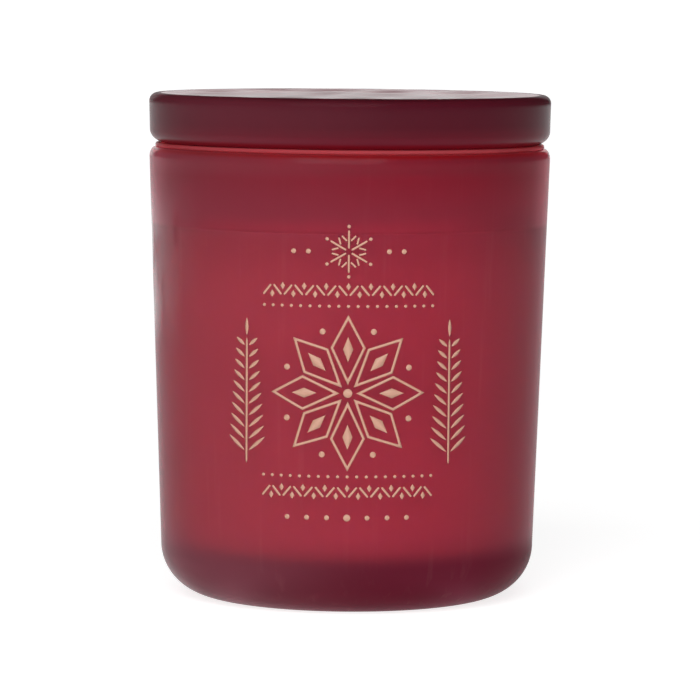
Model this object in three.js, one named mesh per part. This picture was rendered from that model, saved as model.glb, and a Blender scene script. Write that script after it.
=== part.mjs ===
// A lidded scented candle: a frosted red glass jar, the wax poured into it, a clear seal ring and a glass lid.
// Units are millimetres and +Z is up. The origin is the middle of the jar's base, and every piece is turned about Z.
import * as THREE from 'three';

// Jar, outside
const JAR_HEIGHT = 91.9;
const JAR_TOP_RADIUS = 41.0;
const JAR_FOOT_RADIUS = 38.25;
const HEEL_REACH = 11.0;
const HEEL_HEIGHT = 10.6;
const LIP_REACH = 1.2;
const LIP_RISE = 2.0;
const PUNT_RADIUS = 21.0;
const PUNT_DEPTH = 0.8;
const PUNT_SLOPE = 3.0;

// Jar, inside
const MOUTH_RADIUS = 38.3;
const FLOOR_THICKNESS = 10.0;
const INNER_FOOT_RADIUS = 35.2;
const INNER_ROUNDING = 7.0;
const MOUTH_ROUNDING = 0.8;

// Wax
const WAX_LEVEL = 78.5;
const WAX_EDGE = 0.6;

// Lid, a solid disc with a plug that drops into the mouth
const LID_HEIGHT = 10.1;
const LID_TOP_RADIUS = 41.1;
const LID_FOOT_RADIUS = 40.95;
const LID_TOP_ROUNDING = 1.7;
const LID_FOOT_REACH = 3.2;
const LID_FOOT_RISE = 2.7;
const PLUG_RADIUS = 35.9;
const PLUG_DEPTH = 5.0;
const PLUG_ROUNDING = 1.0;

// Seal ring, a flange between lid and lip with a skirt round the plug
const SEAL_THICKNESS = 0.9;
const SEAL_RADIUS = 39.8;
const SEAL_EDGE = 0.4;
const SKIRT_DEPTH = 4.0;

// Free play between neighbours
const CLEARANCE = 0.3;

// Fineness: flat sides round the axis, and steps along an arc or a slope by its reach
const SIDES = 72;
const FEWEST_STEPS = 3;
const STEPS_PER_MM = 0.6;

const LID_BASE = JAR_HEIGHT + SEAL_THICKNESS;
const LID_TOP = LID_BASE + LID_HEIGHT;

const FROSTED_GLASS = new THREE.MeshStandardMaterial({ color: 0x96323e, roughness: 0.5, metalness: 0 });
const LID_GLASS = new THREE.MeshStandardMaterial({ color: 0x501c26, roughness: 0.45, metalness: 0 });
const WAX = new THREE.MeshStandardMaterial({ color: 0xe9d8c4, roughness: 0.6, metalness: 0 });
const SEAL = new THREE.MeshStandardMaterial({ color: 0xd9cfcf, roughness: 0.3, metalness: 0 });

const point = (radius, height) => new THREE.Vector2(radius, height);

const stepsFor = (reach) => Math.round(FEWEST_STEPS + STEPS_PER_MM * reach);

/** Points of an elliptic arc about (radius, height), from one angle in quarter turns to another. */
function arc(radius, height, reach, rise, from, to) {
  const ellipse = new THREE.EllipseCurve(radius, height, reach, rise, from * Math.PI / 2, to * Math.PI / 2);
  return ellipse.getPoints(stepsFor(reach) * (to - from));
}

/** A smooth step in height, as half a cosine wave, between two radii. */
function step(fromRadius, fromHeight, toRadius, toHeight) {
  const steps = stepsFor(Math.abs(toRadius - fromRadius));
  return Array.from({ length: steps + 1 }, (_, i) => {
    const along = i / steps;
    const risen = (1 - Math.cos(Math.PI * along)) / 2;
    return point(
      THREE.MathUtils.lerp(fromRadius, toRadius, along),
      THREE.MathUtils.lerp(fromHeight, toHeight, risen),
    );
  });
}

/** A solid of revolution about Z from a profile of radius and height, followed with the material on its left. */
function turned(name, profile, material) {
  const geometry = new THREE.LatheGeometry(profile, SIDES);
  geometry.rotateX(Math.PI / 2);
  const mesh = new THREE.Mesh(geometry, material);
  mesh.name = name;
  return mesh;
}

/** Radius of the jar's bore at a height above the inner rounding, by its straight taper. */
function boreRadius(height) {
  const foot = FLOOR_THICKNESS + INNER_ROUNDING;
  const along = (height - foot) / (JAR_HEIGHT - foot);
  return THREE.MathUtils.lerp(INNER_FOOT_RADIUS, MOUTH_RADIUS, along);
}

/** The rounded foot of the bore, drawn in from the glass by a gap, from the axis outwards. */
function boreFoot(gap) {
  const middle = INNER_FOOT_RADIUS - INNER_ROUNDING;
  const rounding = INNER_ROUNDING - gap;
  return [
    point(0, FLOOR_THICKNESS + gap),
    ...arc(middle, FLOOR_THICKNESS + INNER_ROUNDING, rounding, rounding, -1, 0),
  ];
}

/** The jar: a shallow punt under a thick floor, a round heel, a tapered wall and a rounded lip. */
function jar() {
  const flatRadius = JAR_FOOT_RADIUS - HEEL_REACH;
  const lipMiddle = JAR_HEIGHT - LIP_RISE;
  const mouthMiddle = JAR_HEIGHT - MOUTH_ROUNDING;
  const outside = [
    point(0, PUNT_DEPTH),
    ...step(PUNT_RADIUS - PUNT_SLOPE, PUNT_DEPTH, PUNT_RADIUS, 0),
    ...arc(flatRadius, HEEL_HEIGHT, HEEL_REACH, HEEL_HEIGHT, -1, 0),
    ...arc(JAR_TOP_RADIUS - LIP_REACH, lipMiddle, LIP_REACH, LIP_RISE, 0, 1),
  ];
  const inside = [
    ...arc(MOUTH_RADIUS + MOUTH_ROUNDING, mouthMiddle, MOUTH_ROUNDING, MOUTH_ROUNDING, 1, 2),
    ...boreFoot(0).reverse(),
  ];
  return turned('jar', [...outside, ...inside], FROSTED_GLASS);
}

/** The wax: it fills the bore up to its level, with a softly rounded edge. */
function wax() {
  const radius = boreRadius(WAX_LEVEL) - CLEARANCE;
  const profile = [
    ...boreFoot(CLEARANCE),
    ...arc(radius - WAX_EDGE, WAX_LEVEL - WAX_EDGE, WAX_EDGE, WAX_EDGE, 0, 1),
    point(0, WAX_LEVEL),
  ];
  return turned('wax', profile, WAX);
}

/** The lid: a solid disc, rounded above and below, with the plug beneath. */
function lid() {
  const footMiddle = LID_FOOT_RADIUS - LID_FOOT_REACH;
  const topMiddle = LID_TOP_RADIUS - LID_TOP_ROUNDING;
  const plugMiddle = PLUG_RADIUS - PLUG_ROUNDING;
  const plugFoot = LID_BASE - PLUG_DEPTH;
  const profile = [
    point(0, plugFoot),
    ...arc(plugMiddle, plugFoot + PLUG_ROUNDING, PLUG_ROUNDING, PLUG_ROUNDING, -1, 0),
    point(PLUG_RADIUS, LID_BASE),
    ...arc(footMiddle, LID_BASE + LID_FOOT_RISE, LID_FOOT_REACH, LID_FOOT_RISE, -1, 0),
    ...arc(topMiddle, LID_TOP - LID_TOP_ROUNDING, LID_TOP_ROUNDING, LID_TOP_ROUNDING, 0, 1),
    point(0, LID_TOP),
  ];
  return turned('lid', profile, LID_GLASS);
}

/** The seal ring: its flange lies on the lip with a rounded outer edge, and its skirt hangs in the mouth. */
function seal() {
  const bore = PLUG_RADIUS + CLEARANCE;
  const skirtRadius = MOUTH_RADIUS - 2 * CLEARANCE;
  const edge = SEAL_RADIUS - SEAL_EDGE;
  const profile = [
    point(bore, LID_BASE - SKIRT_DEPTH),
    point(skirtRadius, LID_BASE - SKIRT_DEPTH),
    point(skirtRadius, JAR_HEIGHT),
    ...arc(edge, LID_BASE - SEAL_THICKNESS / 2, SEAL_EDGE, SEAL_THICKNESS / 2, -1, 1),
    point(bore, LID_BASE),
    point(bore, LID_BASE - SKIRT_DEPTH),
  ];
  return turned('seal', profile, SEAL);
}

const candle = new THREE.Group();
candle.add(jar(), wax(), seal(), lid());

export default candle;
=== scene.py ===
"""A lidded scented candle: a frosted red glass jar, its wax, a clear seal ring, a glass lid and a print.

Lengths are in millimetres until a mesh is made. The frame is the CAD model's: +Z up, -Y the printed front.
"""
import math

import bpy
import numpy as np
from mathutils import Matrix, Vector


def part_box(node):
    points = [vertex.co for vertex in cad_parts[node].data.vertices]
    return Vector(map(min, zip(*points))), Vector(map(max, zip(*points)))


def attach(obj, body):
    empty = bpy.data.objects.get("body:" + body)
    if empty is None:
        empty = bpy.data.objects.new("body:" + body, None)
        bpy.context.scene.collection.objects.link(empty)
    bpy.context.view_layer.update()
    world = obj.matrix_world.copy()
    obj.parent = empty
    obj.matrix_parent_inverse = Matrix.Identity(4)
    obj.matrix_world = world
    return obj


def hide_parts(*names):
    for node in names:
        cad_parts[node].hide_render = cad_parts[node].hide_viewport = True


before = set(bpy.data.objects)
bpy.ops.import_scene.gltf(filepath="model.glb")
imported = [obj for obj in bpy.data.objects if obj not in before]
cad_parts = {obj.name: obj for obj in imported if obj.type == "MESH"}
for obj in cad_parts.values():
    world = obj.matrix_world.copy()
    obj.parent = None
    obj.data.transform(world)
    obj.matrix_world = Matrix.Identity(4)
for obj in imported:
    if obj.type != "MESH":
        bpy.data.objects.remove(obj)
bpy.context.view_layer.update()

MM = 0.001
SIDES = 288

# Jar
JAR_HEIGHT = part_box("jar")[1].z / MM
JAR_TOP_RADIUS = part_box("jar")[1].x / MM
JAR_FOOT_RADIUS = 38.25
HEEL_REACH = 11.0
HEEL_HEIGHT = 10.6
LIP_REACH = 1.2
LIP_RISE = 2.0
PUNT_RADIUS = 21.0
PUNT_DEPTH = 0.8
PUNT_SLOPE = 3.0
MOUTH_RADIUS = 38.3
MOUTH_ROUNDING = 0.8
FLOOR_THICKNESS = 10.0
INNER_FOOT_RADIUS = 35.2
INNER_ROUNDING = 7.0

# Wax, which reaches a little into the wall so that no air shows between them
WAX_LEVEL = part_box("wax")[1].z / MM
WAX_BITE = 0.12
WAX_EDGE_REACH = 1.6
WAX_EDGE_RISE = 4.0

# Seal ring
LID_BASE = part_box("seal")[1].z / MM
SEAL_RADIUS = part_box("seal")[1].x / MM
SEAL_EDGE = 0.4
SEAL_BORE = 36.2
SKIRT_RADIUS = 37.7
SKIRT_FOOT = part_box("seal")[0].z / MM

# Lid, with the waves pressed into its top
LID_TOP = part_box("lid")[1].z / MM
LID_TOP_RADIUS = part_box("lid")[1].x / MM
LID_FOOT_RADIUS = 40.95
LID_TOP_ROUNDING = 1.7
LID_FOOT_REACH = 3.2
LID_FOOT_RISE = 2.7
PLUG_RADIUS = 35.9
PLUG_ROUNDING = 1.0
PLUG_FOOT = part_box("lid")[0].z / MM
RIPPLE_DEPTH = 0.55
RIPPLE_MEAN = 0.6
RIPPLE_WAVES = 7
RIPPLE_LENGTHS = (13.0, 30.0)
RIPPLE_FADE = 6.0
RIPPLE_SEED = 5


# Profiles, as rows of (radius, height)

def arc(radius, height, reach, rise, start, stop, steps=14):
    """An elliptic arc: radius + reach cos a, height + rise sin a, with the angle a in quarter turns."""
    turn = np.linspace(start, stop, steps + 1) * math.pi / 2
    return np.column_stack([radius + reach * np.cos(turn), height + rise * np.sin(turn)])


def straight(start, stop, steps):
    """Evenly spaced points from start to stop, without either end."""
    along = np.linspace(0, 1, steps + 2)[1:-1, None]
    return (1 - along) * np.array(start) + along * np.array(stop)


def slope(start, stop, steps=14):
    """A soft step from start to stop: the radius goes evenly and the height as half a cosine wave."""
    along = np.linspace(0, 1, steps + 1)
    risen = (1 - np.cos(math.pi * along)) / 2
    return np.column_stack([
        start[0] + along * (stop[0] - start[0]),
        start[1] + risen * (stop[1] - start[1]),
    ])


def chain(*stretches, gap=2.0):
    """Joins stretches of a profile, filling each straight run between them with points about a gap apart."""
    joined = [np.atleast_2d(stretches[0])]
    for stretch in stretches[1:]:
        stretch = np.atleast_2d(stretch)
        run = np.linalg.norm(stretch[0] - joined[-1][-1])
        joined += [straight(joined[-1][-1], stretch[0], int(run / gap)), stretch]
    return np.vstack(joined)


def bore_foot(bite):
    """The rounded foot of the jar's bore from the axis outwards, moved into the glass by a bite."""
    rounding = INNER_ROUNDING + bite
    middle = INNER_FOOT_RADIUS - INNER_ROUNDING
    return chain(
        (0, FLOOR_THICKNESS - bite),
        arc(middle, FLOOR_THICKNESS + INNER_ROUNDING, rounding, rounding, -1, 0),
    )


def bore_radius(height):
    """Radius of the bore at a height above its rounded foot, by its straight taper."""
    foot = FLOOR_THICKNESS + INNER_ROUNDING
    return np.interp(height, [foot, JAR_HEIGHT], [INNER_FOOT_RADIUS, MOUTH_RADIUS])


def ripples(points):
    """Depth of the waves pressed into the lid's top: depth (mean + average of sin(2 pi p . n / l + f)).

    p is the place on the top, and each wave has its own direction n, length l and phase f. All fade out at
    the rim, and no crest stands above the top.
    """
    draw = np.random.default_rng(RIPPLE_SEED)
    heading = draw.uniform(0, math.pi, RIPPLE_WAVES)
    length = draw.uniform(*RIPPLE_LENGTHS, RIPPLE_WAVES)
    phase = draw.uniform(0, 2 * math.pi, RIPPLE_WAVES)
    path = points[:, :1] * np.cos(heading) + points[:, 1:2] * np.sin(heading)
    wave = np.sin(2 * math.pi * path / length + phase).mean(1)
    radius = np.hypot(points[:, 0], points[:, 1])
    fade = np.clip((LID_TOP_RADIUS - LID_TOP_ROUNDING - radius) / RIPPLE_FADE, 0, 1)
    pressed = np.maximum(RIPPLE_MEAN + wave, 0)
    return RIPPLE_DEPTH * fade * pressed * (points[:, 2] > LID_TOP - RIPPLE_DEPTH)


# Meshes

def new_piece(name, points, faces, material):
    """A smooth-shaded mesh object at the origin, riding on the one body, from points in millimetres."""
    mesh = bpy.data.meshes.new(name)
    mesh.from_pydata((points * MM).tolist(), [], faces)
    mesh.polygons.foreach_set("use_smooth", np.ones(len(mesh.polygons), bool))
    mesh.materials.append(material)
    mesh.update()
    piece = bpy.data.objects.new(name, mesh)
    bpy.context.scene.collection.objects.link(piece)
    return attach(piece, "root")


def grid_faces(rows, columns):
    """Quads between neighbouring rows of points, each row a closed ring of columns points."""
    row = np.arange(rows - 1)[:, None] * columns
    here = np.arange(columns)[None, :]
    there = (here + 1) % columns
    corners = [row + here, row + there, row + columns + there, row + columns + here]
    return np.stack(corners, -1).reshape(-1, 4)


def turned(name, profile, material, sunk=None):
    """A solid of revolution: (r cos a, r sin a, z) for each point of the profile and each angle a.

    A profile that starts and ends on the axis gets a fan of triangles there, and any other closes on itself.
    Where a function sunk is given, each point is lowered by what it gives for that point.
    """
    capped = profile[0, 0] < 1e-6
    rings = profile[1:-1] if capped else profile
    angle = np.arange(SIDES) * 2 * math.pi / SIDES
    radius, height = rings[:, :1], rings[:, 1:]
    points = np.stack([radius * np.cos(angle), radius * np.sin(angle), height + 0 * angle], -1).reshape(-1, 3)
    faces = grid_faces(len(rings), SIDES).tolist()
    here = np.arange(SIDES)
    there = (here + 1) % SIDES
    last = (len(rings) - 1) * SIDES
    if capped:
        poles = np.array([[0, 0, profile[0, 1]], [0, 0, profile[-1, 1]]])
        low, high = len(points), len(points) + 1
        points = np.vstack([points, poles])
        faces += np.column_stack([there, here, np.full(SIDES, low)]).tolist()
        faces += np.column_stack([last + here, last + there, np.full(SIDES, high)]).tolist()
    else:
        faces += np.column_stack([last + here, last + there, there, here]).tolist()
    if sunk:
        points[:, 2] -= sunk(points)
    return new_piece(name, points, faces, material)


# Shader maths

class Wire:
    """A shader socket that can stand in a formula: each operation on it adds one Math node."""

    def __init__(self, finish, socket):
        self.finish = finish
        self.socket = socket

    def _math(self, operation, first, second):
        return self.finish.node("ShaderNodeMath", {"operation": operation}, {0: first, 1: second})

    def __add__(self, other):
        return self._math("ADD", self, other)

    def __sub__(self, other):
        return self._math("SUBTRACT", self, other)

    def __rsub__(self, other):
        return self._math("SUBTRACT", other, self)

    def __mul__(self, other):
        return self._math("MULTIPLY", self, other)

    __radd__ = __add__
    __rmul__ = __mul__

    def above(self, low, high):
        """0 below low, 1 above high, and a smooth rise between them."""
        sockets = {"Value": self, "From Min": low, "From Max": high}
        return self.finish.node("ShaderNodeMapRange", {"interpolation_type": "SMOOTHSTEP"}, sockets)


GRAIN_SCALE = 2600.0
GRAIN_RELIEF = 0.012
WAVE_SCALE = 240.0
WAVE_STRETCH = (1, 1, 0.6)
WAVE_RELIEF = 0.05
SPECK_LOT = (0.8, 0.81)


class Finish:
    """A material with one Principled shader, and the means to add nodes to it."""

    def __init__(self, name, **constants):
        self.material = bpy.data.materials.new(name)
        self.material.use_nodes = True
        self.tree = self.material.node_tree
        self.shader = self.tree.nodes["Principled BSDF"]
        self.set(self.shader, constants)

    def set(self, node, values):
        """Gives each named socket of a node a plain value or a link."""
        for key, value in values.items():
            socket = node.inputs[key]
            if isinstance(value, Wire):
                self.tree.links.new(value.socket, socket)
            else:
                socket.default_value = value

    def node(self, kind, settings, values, output=0):
        """Adds a node of that kind, sets its settings, then its sockets, and returns one of its outputs."""
        made = self.tree.nodes.new(kind)
        for key, value in settings.items():
            setattr(made, key, value)
        self.set(made, values)
        return Wire(self, made.outputs[output])

    def place(self):
        """Object coordinates, in metres."""
        return self.node("ShaderNodeTexCoord", {}, {}, "Object")

    def height(self):
        """Height above the base, in metres."""
        return self.node("ShaderNodeSeparateXYZ", {}, {"Vector": self.place()}, "Z")

    def across(self):
        """Distance to the right of the axis, in metres."""
        return self.node("ShaderNodeSeparateXYZ", {}, {"Vector": self.place()}, "X")

    def radius(self):
        """Distance from the axis, in metres."""
        level = self.node("ShaderNodeVectorMath", {"operation": "MULTIPLY"}, {0: self.place(), 1: (1, 1, 0)})
        return self.node("ShaderNodeVectorMath", {"operation": "LENGTH"}, {0: level}, "Value")

    def stretched(self, scale):
        """Object coordinates multiplied axis by axis."""
        return self.node("ShaderNodeMapping", {}, {"Vector": self.place(), "Scale": scale})

    def noise(self, vector, scale, detail=3.0):
        """Cloudy noise from 0 to 1 with that many lumps to the metre."""
        return self.node("ShaderNodeTexNoise", {}, {"Vector": vector, "Scale": scale, "Detail": detail})

    def specks(self, scale, size):
        """1 in small round specks, one in a few cells of a Voronoi pattern, and 0 elsewhere."""
        cells = {"Vector": self.place(), "Scale": scale}
        near = self.node("ShaderNodeTexVoronoi", {}, cells, "Distance")
        lot = self.node("ShaderNodeTexVoronoi", {}, cells, "Color")
        chosen = self.node("ShaderNodeSeparateXYZ", {}, {"Vector": lot}, "X").above(*SPECK_LOT)
        return chosen * (1 - near.above(size / 2, size))

    def mix(self, share, first, second):
        """A colour between two colours."""
        return self.node("ShaderNodeMix", {"data_type": "RGBA"}, {0: share, 6: first, 7: second}, 2)

    def frost(self, share):
        """A normal bent by a fine frosted grain on faint waves in the glass, both scaled by a share."""
        grain = self.noise(self.place(), GRAIN_SCALE, 2.0)
        waves = self.noise(self.stretched(WAVE_STRETCH), WAVE_SCALE, 2.0)
        relief = (GRAIN_RELIEF * grain + WAVE_RELIEF * waves) * share
        return self.node("ShaderNodeBump", {}, {"Height": relief, "Distance": MM})


def shade(red, green, blue):
    """A colour given in 0 to 255 as a screen shows it, as the linear values that shaders take."""
    value = np.array([red, green, blue]) / 255
    linear = np.where(value <= 0.04045, value / 12.92, ((value + 0.055) / 1.055) ** 2.4)
    return (*linear.tolist(), 1.0)


# Glass of jar and lid
GLASS_CLEAR = 0.8
JAR_IOR = 1.12
JAR_ROUGH = 0.62
JAR_COAT = 0.36
LID_IOR = 1.15
LID_ROUGH = 0.6
LID_COAT = 0.42
COAT_ROUGH = 0.14
COAT_IOR = 1.2
JAR_SHEEN = (1.0, 0.6, 0.65, 1.0)
LID_SHEEN = (1.0, 0.4, 0.45, 1.0)

# Marks in the glass: clouds, drawn streaks, smudges and specks
CLOUD_SCALE = 90.0
CLOUD_ROUGH = 0.08
STREAK_SCALE = 420.0
STREAK_STRETCH = (1, 1, 0.05)
STREAK_RANGE = (0.56, 0.8)
STREAK_SHARE = 0.06
STREAK_ROUGH = 0.05
SMUDGE_SCALE = 150.0
SMUDGE_STRETCH = (1, 1, 0.45)
SMUDGE_RANGE = (0.36, 0.54)
SPECK_SCALE = 150.0
SPECK_SHARE = 0.4
JAR_SPECK = 0.035
LID_SPECK = 0.03

# Places in metres, each a pair between which a change runs its course, most of them bands of painted light or
# shade on the glass: across, then up the jar
LEFT_EDGE = (-0.036, -0.028)
PAINTED_SHEEN_EDGE = (-0.040, 0.012)
PAINTED_SHADE_RIGHT_EDGE = (0.016, 0.034)
FOOT_END = (0.0094, 0.0140)
RUBBED_START = (0.050, 0.060)
DIM_START = (0.0660, 0.0745)
HEAD_START = (0.070, 0.088)
PAINTED_SHEEN_GROWS = (0.074, 0.080)
RUBBED_END = (0.075, 0.087)
WAX_LINE = (0.0760, 0.0772)
PAINTED_SHADE_RIGHT_EASES = (0.076, 0.084)
LIT_END = (0.0775, 0.0890)
LIP_START = (0.0865, 0.0895)
LIP_EDGE = (0.0906, 0.0916)
LIP_TOP = (0.0916, 0.09185)

# Places on the lid, in metres
LID_EDGE = ((LID_BASE + 0.6) * MM, (LID_BASE + 1.4) * MM)
LID_LOW = ((LID_BASE + 1.5) * MM, (LID_BASE + 4.8) * MM)
LID_RIM = ((LID_TOP - 2.2) * MM, (LID_TOP - 1.6) * MM)
LID_FLAT = ((LID_TOP - 1.2) * MM, (LID_TOP - 0.8) * MM)
LID_FLAT_END = (0.0385, 0.0392)

# How strongly each change shows
LIP_SHARE = 0.24
LIP_PAINTED_SHEEN = 0.38
PAINTED_SHADE_RIGHT_SHARE = 0.2
PAINTED_SHADE_RIGHT_EASE = 0.1
PAINTED_SHEEN_SHARE = 0.08
PAINTED_SHEEN_GROWTH = 0.1
FOOT_PAINTED_SHEEN = 0.2
FOOT_ROUGH = 0.1
FOOT_COAT = 0.16
LEFT_COAT = 0.12
RUBBED_COAT = 0.5
LID_PAINTED_SHEEN = 0.09
TOP_PAINTED_LIGHT = 0.8
TOP_POLISH = 0.35
RIM_COAT = 0.3


def frosted_jar():
    """Red frosted glass: rough see-through walls with painted shade on the thick foot, and faint streaks and
    specks.

    The wall's colour carries painted light and shade: painted shade just under the wax line, painted light
    just over it, over the headspace and near the lip, a deep red painted shade and a pale painted reflection
    at the lip's top, a pale painted sheen on the left and painted shade on the right.
    """
    finish = Finish("frosted_jar_glass", **{
        "Transmission Weight": GLASS_CLEAR, "IOR": JAR_IOR, "Specular Tint": JAR_SHEEN,
        "Coat Roughness": COAT_ROUGH, "Coat IOR": COAT_IOR,
    })
    cloud = finish.noise(finish.place(), CLOUD_SCALE)
    streak = finish.noise(finish.stretched(STREAK_STRETCH), STREAK_SCALE).above(*STREAK_RANGE)
    smudge = finish.noise(finish.stretched(SMUDGE_STRETCH), SMUDGE_SCALE).above(*SMUDGE_RANGE)
    height = finish.height()
    across = finish.across()
    # The foot below FOOT_END has painted shade in its colour, and its own roughness and coat
    body = height.above(*FOOT_END)
    left = 1 - across.above(*LEFT_EDGE)
    # Left side, where a pale painted sheen lies on the wall, the lip and the heel, and where the heel keeps
    # its coat
    painted_sheen = 1 - across.above(*PAINTED_SHEEN_EDGE)
    # Painted shade on the right side, easing off over the wax line
    painted_shade_right = across.above(*PAINTED_SHADE_RIGHT_EDGE) * (PAINTED_SHADE_RIGHT_SHARE - PAINTED_SHADE_RIGHT_EASE * height.above(*PAINTED_SHADE_RIGHT_EASES))
    rubbed = left * smudge * height.above(*RUBBED_START) * (1 - height.above(*RUBBED_END))
    # Painted shade just under the wax line, and painted light just over it
    dim = height.above(*DIM_START) * (1 - height.above(*WAX_LINE))
    lit = height.above(*WAX_LINE) * (1 - height.above(*LIT_END))
    wall = finish.mix(cloud, shade(140, 41, 62), shade(149, 45, 66))
    # Painted light: a lighter red over the headspace
    wall = finish.mix(height.above(*HEAD_START), wall, shade(165, 44, 68))
    wall = finish.mix(dim, wall, shade(138, 40, 61))
    wall = finish.mix(lit, wall, shade(179, 64, 88))
    # Painted light near the lip: a lighter red, stronger on the left
    wall = finish.mix(height.above(*LIP_START) * (LIP_SHARE + LIP_PAINTED_SHEEN * painted_sheen), wall, shade(190, 80, 100))
    # Painted shade: a deep red band on the lip's rounding under the seal
    wall = finish.mix(height.above(*LIP_EDGE), wall, shade(186, 31, 44))
    # Painted reflection: a pale band along the very top of the lip
    wall = finish.mix(height.above(*LIP_TOP), wall, shade(205, 70, 82))
    # Painted shade on the right side
    wall = finish.mix(painted_shade_right, wall, shade(110, 60, 75))
    # The pale painted sheen on the left, growing a little over the wax line
    painted_sheen_share = painted_sheen * (PAINTED_SHEEN_SHARE + PAINTED_SHEEN_GROWTH * height.above(*PAINTED_SHEEN_GROWS))
    wall = finish.mix(painted_sheen_share, wall, shade(150, 130, 140))
    # The foot: painted shade, a darker red, with a pale painted sheen on its left
    foot = finish.mix(FOOT_PAINTED_SHEEN * painted_sheen, shade(99, 22, 42), shade(190, 130, 142))
    colour = finish.mix(body, foot, wall)
    marks = STREAK_SHARE * streak + SPECK_SHARE * finish.specks(SPECK_SCALE, JAR_SPECK)
    coat = JAR_COAT + LEFT_COAT * left + RUBBED_COAT * rubbed
    finish.set(finish.shader, {
        "Base Color": finish.mix(marks, colour, shade(214, 130, 140)),
        "Roughness": JAR_ROUGH + CLOUD_ROUGH * cloud + STREAK_ROUGH * streak + FOOT_ROUGH * (1 - body),
        "Coat Weight": coat - FOOT_COAT * (1 - body) * (1 - painted_sheen),
        "Normal": finish.frost(1),
    })
    return finish.material


def frosted_lid():
    """The lid's glass: thicker and darker than the jar's, polished on top, with painted light, shade and
    sheen.
    """
    finish = Finish("frosted_lid_glass", **{
        "Transmission Weight": GLASS_CLEAR, "IOR": LID_IOR, "Specular Tint": LID_SHEEN,
        "Coat Roughness": COAT_ROUGH, "Coat IOR": COAT_IOR,
    })
    cloud = finish.noise(finish.place(), CLOUD_SCALE)
    height = finish.height()
    rim = height.above(*LID_RIM)
    top = height.above(*LID_FLAT) * (1 - finish.radius().above(*LID_FLAT_END))
    # Left side, where a pale painted sheen lies on the lid
    painted_sheen = 1 - finish.across().above(*PAINTED_SHEEN_EDGE)
    colour = finish.mix(cloud, shade(70, 16, 29), shade(78, 19, 34))
    # Painted light: a lighter red on the lower side of the lid
    colour = finish.mix(height.above(*LID_LOW), shade(104, 26, 42), colour)
    # A pale painted sheen on the left
    colour = finish.mix(LID_PAINTED_SHEEN * painted_sheen, colour, shade(200, 110, 125))
    # Painted shade: a deep red on the underside of the lid's foot
    colour = finish.mix(height.above(*LID_EDGE), shade(118, 7, 18), colour)
    # Painted light: a lighter red on the flat top
    colour = finish.mix(TOP_PAINTED_LIGHT * top, colour, shade(166, 72, 86))
    marks = SPECK_SHARE * finish.specks(SPECK_SCALE, LID_SPECK)
    finish.set(finish.shader, {
        "Base Color": finish.mix(marks, colour, shade(190, 120, 128)),
        "Roughness": LID_ROUGH + CLOUD_ROUGH * cloud - TOP_POLISH * top,
        "Coat Weight": LID_COAT - RIM_COAT * rim,
        "Normal": finish.frost(1 - top),
    })
    return finish.material


def cream_wax():
    """Smooth cream wax with a soft inner glow, and painted shade that makes it a little darker towards its
    level.
    """
    finish = Finish("cream_wax", **{
        "Roughness": 0.55, "Subsurface Weight": 1.0,
        "Subsurface Scale": 0.012, "Subsurface Radius": (1.0, 0.8, 0.6),
    })
    cloud = finish.noise(finish.place(), 60.0)
    # Painted shade: darker towards the wax's level
    painted_shade_upper = finish.height().above(0.062, 0.079)
    cream = finish.mix(cloud, shade(240, 226, 206), shade(246, 234, 216))
    finish.set(finish.shader, {"Base Color": finish.mix(painted_shade_upper, cream, shade(224, 208, 188))})
    return finish.material


def clear_seal():
    """Clear silicone, with the red of the glass about it painted into its colour as a painted reflection."""
    finish = Finish("clear_seal", **{"Transmission Weight": 0.72, "IOR": 1.04, "Roughness": 0.3})
    cloud = finish.noise(finish.place(), 200.0)
    # Red painted into the clear silicone's colour: a painted reflection of the glass about it
    finish.set(finish.shader, {"Base Color": finish.mix(cloud, shade(226, 92, 102), shade(232, 100, 110))})
    return finish.material


def gold_ink():
    """Satin beige-gold printing ink, a little uneven in its cover."""
    finish = Finish("gold_ink", **{"IOR": 1.45})
    cover = finish.noise(finish.place(), 900.0)
    finish.set(finish.shader, {
        "Base Color": finish.mix(cover, shade(164, 121, 100), shade(176, 134, 115)),
        "Roughness": 0.4 + 0.2 * cover,
    })
    return finish.material


# Pieces turned about the axis

def make_jar():
    """The jar: punt, flat ring, round heel, tapered wall, lip, bore and thick floor in one profile."""
    flat = JAR_FOOT_RADIUS - HEEL_REACH
    lip_middle = JAR_HEIGHT - LIP_RISE
    mouth_middle = JAR_HEIGHT - MOUTH_ROUNDING
    profile = chain(
        (0, PUNT_DEPTH),
        slope((PUNT_RADIUS - PUNT_SLOPE, PUNT_DEPTH), (PUNT_RADIUS, 0)),
        arc(flat, HEEL_HEIGHT, HEEL_REACH, HEEL_HEIGHT, -1, 0, 28),
        arc(JAR_TOP_RADIUS - LIP_REACH, lip_middle, LIP_REACH, LIP_RISE, 0, 1),
        arc(MOUTH_RADIUS + MOUTH_ROUNDING, mouth_middle, MOUTH_ROUNDING, MOUTH_ROUNDING, 1, 2),
        bore_foot(0)[::-1],
    )
    piece = turned("jar_glass", profile, frosted_jar())
    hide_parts("jar")


def make_wax():
    """The wax: the bore's own shape, reaching just into the wall, up to its level with a rounded edge."""
    radius = bore_radius(WAX_LEVEL) + WAX_BITE
    profile = chain(
        bore_foot(WAX_BITE),
        arc(radius - WAX_EDGE_REACH, WAX_LEVEL - WAX_EDGE_RISE, WAX_EDGE_REACH, WAX_EDGE_RISE, 0, 1),
        (0, WAX_LEVEL),
    )
    piece = turned("wax_fill", profile, cream_wax())
    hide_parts("wax")


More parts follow.
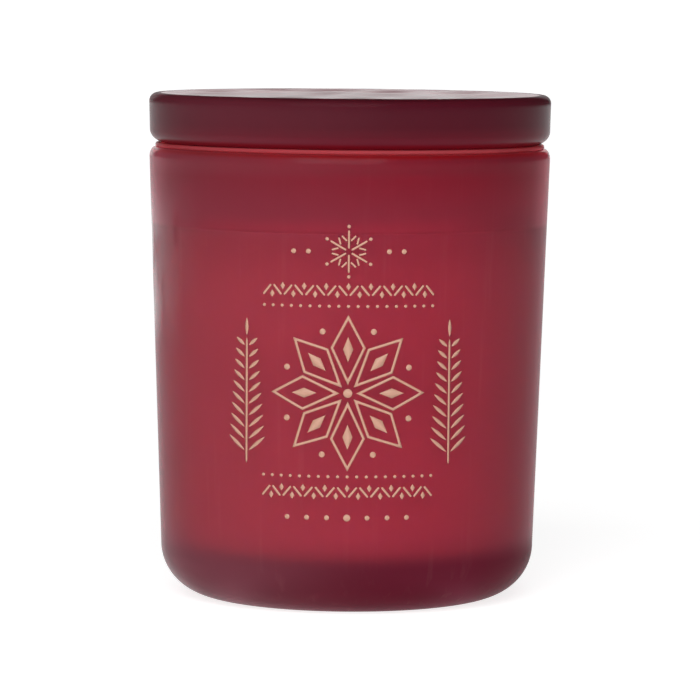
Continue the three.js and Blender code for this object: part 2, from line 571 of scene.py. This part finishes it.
def make_seal():
    """The seal ring: a flange with a round outer edge over a skirt, as one closed section."""
    thickness = LID_BASE - JAR_HEIGHT
    profile = chain(
        (SEAL_BORE, SKIRT_FOOT),
        (SKIRT_RADIUS, SKIRT_FOOT),
        (SKIRT_RADIUS, JAR_HEIGHT),
        arc(SEAL_RADIUS - SEAL_EDGE, LID_BASE - thickness / 2, SEAL_EDGE, thickness / 2, -1, 1),
        (SEAL_BORE, LID_BASE),
        gap=0.8,
    )
    piece = turned("seal_ring", profile, clear_seal())
    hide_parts("seal")


def make_lid():
    """The lid: plug, rounded foot, side, rounded top edge and a top with faint pressed ripples."""
    foot_middle = LID_FOOT_RADIUS - LID_FOOT_REACH
    top_middle = LID_TOP_RADIUS - LID_TOP_ROUNDING
    profile = chain(
        (0, PLUG_FOOT),
        arc(PLUG_RADIUS - PLUG_ROUNDING, PLUG_FOOT + PLUG_ROUNDING, PLUG_ROUNDING, PLUG_ROUNDING, -1, 0),
        (PLUG_RADIUS, LID_BASE),
        arc(foot_middle, LID_BASE + LID_FOOT_RISE, LID_FOOT_REACH, LID_FOOT_RISE, -1, 0),
        arc(top_middle, LID_TOP - LID_TOP_ROUNDING, LID_TOP_ROUNDING, LID_TOP_ROUNDING, 0, 1),
        (0, LID_TOP),
        gap=1.5,
    )
    piece = turned("lid_glass", profile, frosted_lid(), ripples)
    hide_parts("lid")


# Printed ornament, drawn flat as (along the wall, height) and laid round the front of the jar

INK_PROUD = 0.04
INK_BURIED = 0.02
INK_STATIONS = 11
BLUNT = 0.02
LINE_HALF = 0.22

# Powers that give a stroke its form
BAR = 8.0
LENS = 1.5
DISC = 2.0
RHOMB = 1.0

# Star
STAR_MIDDLE = 45.0
PETALS = 8
PETAL_INNER = 2.2
PETAL_SHOULDER = 9.0
PETAL_OUTER = 15.0
PETAL_REACH = 3.2
PETAL_LINE = 0.5
PETAL_STEPS = 6
CORE_INNER = 6.2
CORE_OUTER = 11.2
CORE_HALF = 1.0
SPARK_REACH = 13.2
SPARK_RADIUS = 0.6
HEART_RADIUS = 0.9

# Snowflake, with a dot at each tip
FLAKE_MIDDLE = 73.0
FLAKE_ARMS = 6
ARM_INNER = 0.6
ARM_OUTER = 4.2
ARM_HALF = 0.2
BARB_INNER = (0.4, 2.1)
BARB_OUTER = (1.4, 3.1)
BARB_HALF = 0.18
TIP_REACH = 4.95
TIP_RADIUS = 0.35

# Sprigs
SPRIG_ALONG = 21.0
SPRIG_MIDDLE = 44.0
NEEDLE_PAIRS = 10
NEEDLE_FOOT = -11.0
NEEDLE_RUN = 21.0
NEEDLE_LENGTH = 4.6
NEEDLE_SHORTENS = 2.2
NEEDLE_OFF = 0.5
NEEDLE_WAY = (0.78, 0.62)
NEEDLE_HALF = 0.36
STEM_ENDS = (-13.5, 11.5)
BUD_ENDS = (12.0, 15.4)

# Zigzags
ZIGZAG_HEIGHTS = (64.0, 24.0)
LEGS = 16
LEG_STEP = 2.2
LEG_RISE = 2.6
LEG_GAP = 0.12
NOOK_LOW = 0.2
NOOK_HIGH = 0.8
NOOK_REACH = 0.75
NOOK_HALF = 0.5

# Rows of dots
ROW_HEIGHTS = (62.2, 28.4)
ROW_HALF_COUNT = 9
ROW_STEP = 1.9
ROW_RADIUS = 0.32
DOT_RADIUS = 0.5
FLAKE_DOTS = [8.0, 11.0]
LOW_DOTS = [4.0, 8.0, 12.0]
LOW_DOT_HEIGHT = 20.2
LOW_DOT_MIDDLE = 0.7


def on_wall(along, height, lift):
    """Points on the jar's wall: the angle is the way along divided by the radius at that height."""
    straight_wall = [HEEL_HEIGHT, JAR_HEIGHT - LIP_RISE]
    radius = np.interp(height, straight_wall, [JAR_FOOT_RADIUS, JAR_TOP_RADIUS])
    angle = along / radius
    reach = radius + lift
    return np.stack([reach * np.sin(angle), -reach * np.cos(angle), height], -1)


def stroke(start, stop, half, form):
    """One stroke as a row: its two ends, its half width and the power of its form."""
    return np.array([[*start, *stop, half, form]])


def spun(rows, count, first=0.0):
    """Copies of strokes turned about (0, 0) in even steps of a turn, the first by that share of a step."""
    turn = (np.arange(count) + first)[:, None] * 2 * math.pi / count
    cos, sin = np.cos(turn), np.sin(turn)
    ends = [
        rows[:, 0] * cos + rows[:, 1] * sin, rows[:, 1] * cos - rows[:, 0] * sin,
        rows[:, 2] * cos + rows[:, 3] * sin, rows[:, 3] * cos - rows[:, 2] * sin,
    ]
    rest = [rows[:, 4] + 0 * turn, rows[:, 5] + 0 * turn]
    return np.stack(ends + rest, -1).reshape(-1, 6)


def moved(rows, along, height):
    """Strokes shifted along the wall and up it."""
    return rows + np.array([along, height, along, height, 0, 0])


def both_sides(rows):
    """Strokes and their mirror image."""
    return np.vstack([rows, rows * np.array([-1, 1, -1, 1, 1, 1])])


def dots(along, height, radius):
    """Round dots in a row, as strokes as long as they are wide."""
    along = np.atleast_1d(np.asarray(along, float))
    level = np.full_like(along, height)
    half = np.full_like(along, radius)
    return np.column_stack([along - half, level, along + half, level, half, np.full_like(along, DISC)])


def star_strokes():
    """The star's filled cores, the dots between its petals and the dot in its middle."""
    core = stroke((0, CORE_INNER), (0, CORE_OUTER), CORE_HALF, RHOMB)
    spark = stroke((0, SPARK_REACH - SPARK_RADIUS), (0, SPARK_REACH + SPARK_RADIUS), SPARK_RADIUS, DISC)
    return np.vstack([spun(core, PETALS), spun(spark, PETALS, 0.5), dots(0, 0, HEART_RADIUS)])


def flake_strokes():
    """A small snowflake: bars with two barbs and a dot at each tip."""
    arm = np.vstack([
        stroke((0, ARM_INNER), (0, ARM_OUTER), ARM_HALF, BAR),
        both_sides(stroke(BARB_INNER, BARB_OUTER, BARB_HALF, BAR)),
        stroke((0, TIP_REACH - TIP_RADIUS), (0, TIP_REACH + TIP_RADIUS), TIP_RADIUS, DISC),
    ])
    return spun(arm, FLAKE_ARMS)


def sprig_strokes():
    """A fir sprig: a stem with pairs of needles that rise and shorten towards the top, and a bud over it."""
    needles = []
    for share in np.linspace(0, 1, NEEDLE_PAIRS):
        foot = NEEDLE_FOOT + NEEDLE_RUN * share
        length = NEEDLE_LENGTH - NEEDLE_SHORTENS * share
        tip = (NEEDLE_OFF + NEEDLE_WAY[0] * length, foot + NEEDLE_WAY[1] * length)
        needles.append(stroke((NEEDLE_OFF, foot), tip, NEEDLE_HALF, LENS))
    stem = stroke((0, STEM_ENDS[0]), (0, STEM_ENDS[1]), LINE_HALF, BAR)
    bud = stroke((0, BUD_ENDS[0]), (0, BUD_ENDS[1]), NEEDLE_HALF, LENS)
    return np.vstack([both_sides(np.vstack(needles)), stem, bud])


def zigzag_strokes():
    """A zigzag of separate bars that rise and fall in turn, with a small rhomb in each nook."""
    strokes = []
    for leg in range(LEGS):
        start = (leg - LEGS / 2) * LEG_STEP
        ends = [LEG_GAP, 1 - LEG_GAP]
        heights = ends if leg % 2 == 0 else ends[::-1]
        from_end, to_end = [(start + end * LEG_STEP, high * LEG_RISE) for end, high in zip(ends, heights)]
        strokes.append(stroke(from_end, to_end, LINE_HALF, BAR))
    for nook in range(LEGS - 1):
        along = (nook - LEGS / 2 + 1) * LEG_STEP
        middle = (NOOK_LOW if nook % 2 == 0 else NOOK_HIGH) * LEG_RISE
        strokes.append(stroke((along, middle - NOOK_REACH), (along, middle + NOOK_REACH), NOOK_HALF, RHOMB))
    return np.vstack(strokes)


def ornament_strokes():
    """All strokes of the ornament: star, sprigs, zigzags, dotted rows and a snowflake, one set of rows."""
    row = np.arange(-ROW_HALF_COUNT, ROW_HALF_COUNT + 1) * ROW_STEP
    return np.vstack([
        moved(star_strokes(), 0, STAR_MIDDLE),
        both_sides(moved(sprig_strokes(), SPRIG_ALONG, SPRIG_MIDDLE)),
        *[moved(zigzag_strokes(), 0, height) for height in ZIGZAG_HEIGHTS],
        *[dots(row, height, ROW_RADIUS) for height in ROW_HEIGHTS],
        moved(flake_strokes(), 0, FLAKE_MIDDLE),
        both_sides(dots(FLAKE_DOTS, FLAKE_MIDDLE, DOT_RADIUS)),
        both_sides(dots(LOW_DOTS, LOW_DOT_HEIGHT, DOT_RADIUS)),
        dots(0, LOW_DOT_HEIGHT, LOW_DOT_MIDDLE),
    ])


def stroke_mesh(rows):
    """Thin closed bars: the half width along a stroke is w (1 - |2t - 1|^p)^(1/p), a rhomb, disc or bar by p.

    Each station is a ring of six points: three across the top of the ink and three across its buried foot.
    """
    along = (1 - np.cos(np.linspace(0, math.pi, INK_STATIONS))) / 2
    start, stop = rows[:, None, 0:2], rows[:, None, 2:4]
    width, power = rows[:, None, 4], rows[:, None, 5]
    path = start + along[None, :, None] * (stop - start)
    half = np.maximum(width * (1 - np.abs(2 * along - 1) ** power) ** (1 / power), BLUNT)
    way = (stop - start) / np.linalg.norm(stop - start, axis=-1, keepdims=True)
    left = np.stack([-way[..., 1], way[..., 0]], -1)
    across = np.array([1.0, 0.0, -1.0, -1.0, 0.0, 1.0])
    lift = np.array([1, 1, 1, 0, 0, 0]) * (INK_PROUD + INK_BURIED) - INK_BURIED
    spot = path[:, :, None] + left[:, :, None] * (half[..., None] * across)[..., None]
    points = on_wall(spot[..., 0], spot[..., 1], lift)
    ring = len(across)
    tail = (INK_STATIONS - 1) * ring
    caps = np.array([[5, 4, 1, 0], [4, 3, 2, 1], [0, 1, 4, 5], [1, 2, 3, 4]])
    caps[2:] += tail
    one = np.vstack([grid_faces(INK_STATIONS, ring), caps])
    first = np.arange(len(rows))[:, None, None] * INK_STATIONS * ring
    return points.reshape(-1, 3), (one + first).reshape(-1, 4)


def petal_mesh():
    """The star's petals: rhomb outlines with mitred corners, each edge in short steps to follow the wall."""
    core = np.array([
        (0, PETAL_INNER), (PETAL_REACH, PETAL_SHOULDER), (0, PETAL_OUTER), (-PETAL_REACH, PETAL_SHOULDER),
    ])
    edge = np.roll(core, -1, 0) - core
    edge /= np.linalg.norm(edge, axis=1, keepdims=True)
    outward = np.column_stack([-edge[:, 1], edge[:, 0]])
    both = outward + np.roll(outward, 1, 0)
    mitre = both / (both * outward).sum(1, keepdims=True)
    share = (np.arange(PETAL_STEPS) / PETAL_STEPS)[None, :, None]
    path = (core[:, None] * (1 - share) + np.roll(core, -1, 0)[:, None] * share).reshape(-1, 2)
    side = (mitre[:, None] * (1 - share) + np.roll(mitre, -1, 0)[:, None] * share).reshape(-1, 2)
    across = np.array([1.0, -1.0, -1.0, 1.0]) * PETAL_LINE / 2
    lift = np.array([1, 1, 0, 0]) * (INK_PROUD + INK_BURIED) - INK_BURIED
    flat = path[:, None] + side[:, None] * across[None, :, None]
    turn = np.arange(PETALS)[:, None, None] * 2 * math.pi / PETALS
    along = flat[..., 0] * np.cos(turn) + flat[..., 1] * np.sin(turn)
    height = flat[..., 1] * np.cos(turn) - flat[..., 0] * np.sin(turn) + STAR_MIDDLE
    points = on_wall(along, height, lift)
    stations = len(path)
    ring = len(across)
    row = np.arange(stations)[:, None] * ring
    after = (np.arange(stations)[:, None] + 1) % stations * ring
    here = np.arange(ring)[None]
    there = (here + 1) % ring
    one = np.stack([row + here, row + there, after + there, after + here], -1).reshape(-1, 4)
    first = np.arange(PETALS)[:, None, None] * stations * ring
    return points.reshape(-1, 3), (one + first).reshape(-1, 4)


def make_print():
    """The printed ornament: one thin skin of ink, every stroke a closed solid of its own."""
    stroke_points, stroke_faces = stroke_mesh(ornament_strokes())
    petal_points, petal_faces = petal_mesh()
    points = np.vstack([stroke_points, petal_points])
    faces = np.vstack([stroke_faces, petal_faces + len(stroke_points)])
    piece = new_piece("print_ornament", points, faces.tolist(), gold_ink())


# Studio, with lengths of the floor and lights in metres

CAMERA_DISTANCE = 900.0
CAMERA_ELEVATION = 4.88
CAMERA_ROLL = 0.47
CAMERA_LENS = 225.07
SENSOR_WIDTH = 36
AIM = (0.37, 0.0, 50.21)
FLOOR_HALF = 30.0
FLOOR_GLOW = 0.93
FLOOR_NEAR = 0.85
FLOOR_BRIGHTENS = (0.3, 1.3)
FLOOR_PAINT = 0.45
FLOOR_ROUGH = 0.9
ROOM_LIGHT = 0.08
LIGHT_AIM = (0, 0, 0.05)
SOFT_BOXES = [
    ("key_box", (-0.18, -1.5, 0.95), 1.6, 1.6, 44),
    ("rear_box", (-0.6, 7.0, 0.9), 5.2, 2.0, 50),
]


def grey(value):
    """A plain grey of a linear value."""
    return (value, value, value, 1)


def make_camera():
    """A long lens a little above the jar, rolled by half a degree as the photograph is."""
    rise = math.radians(CAMERA_ELEVATION)
    roll = math.radians(CAMERA_ROLL)
    back = Vector((0, -math.cos(rise), math.sin(rise)))
    level_right = Vector((1, 0, 0))
    level_up = back.cross(level_right)
    right = level_right * math.cos(roll) + level_up * math.sin(roll)
    up = back.cross(right)
    camera = bpy.data.objects.new("camera", bpy.data.cameras.new("camera"))
    camera.data.lens = CAMERA_LENS
    camera.data.sensor_width = SENSOR_WIDTH
    turn = Matrix((right, up, back)).transposed().to_4x4()
    camera.matrix_world = Matrix.Translation((Vector(AIM) + back * CAMERA_DISTANCE) * MM) @ turn
    bpy.context.scene.collection.objects.link(camera)
    bpy.context.scene.camera = camera


def make_light(name, place, width, height, power):
    """A soft rectangular light at a place, facing the jar, in metres and watts."""
    data = bpy.data.lights.new(name, "AREA")
    data.shape = "RECTANGLE"
    data.size, data.size_y, data.energy = width, height, power
    light = bpy.data.objects.new(name, data)
    away = Vector(place) - Vector(LIGHT_AIM)
    light.matrix_world = Matrix.Translation(place) @ away.to_track_quat("Z", "Y").to_matrix().to_4x4()
    light.visible_camera = True
    bpy.context.scene.collection.objects.link(light)


def make_floor():
    """A pale glowing floor, a little brighter away from the jar."""
    mesh = bpy.data.meshes.new("floor")
    corners = [(-1, -1), (1, -1), (1, 1), (-1, 1)]
    mesh.from_pydata([(x * FLOOR_HALF, y * FLOOR_HALF, 0) for x, y in corners], [], [(0, 1, 2, 3)])
    paint = Finish("pale_floor", **{
        "Base Color": grey(FLOOR_PAINT), "Roughness": FLOOR_ROUGH, "Emission Strength": FLOOR_GLOW,
    })
    far = paint.radius().above(*FLOOR_BRIGHTENS)
    paint.set(paint.shader, {"Emission Color": paint.mix(far, grey(FLOOR_NEAR), grey(1))})
    mesh.materials.append(paint.material)
    floor = bpy.data.objects.new("floor", mesh)
    bpy.context.scene.collection.objects.link(floor)


def make_studio():
    """The floor in a dim white room, with a soft box in front above the camera and a wide one far behind."""
    make_floor()
    world = bpy.data.worlds.new("dim_room")
    world.use_nodes = True
    room = world.node_tree.nodes["Background"].inputs
    room["Color"].default_value = grey(1)
    room["Strength"].default_value = ROOM_LIGHT
    bpy.context.scene.world = world
    for box in SOFT_BOXES:
        make_light(*box)
    bpy.context.scene.view_settings.view_transform = "Standard"


make_camera()
make_jar()
make_wax()
make_seal()
make_lid()
make_print()
make_studio()
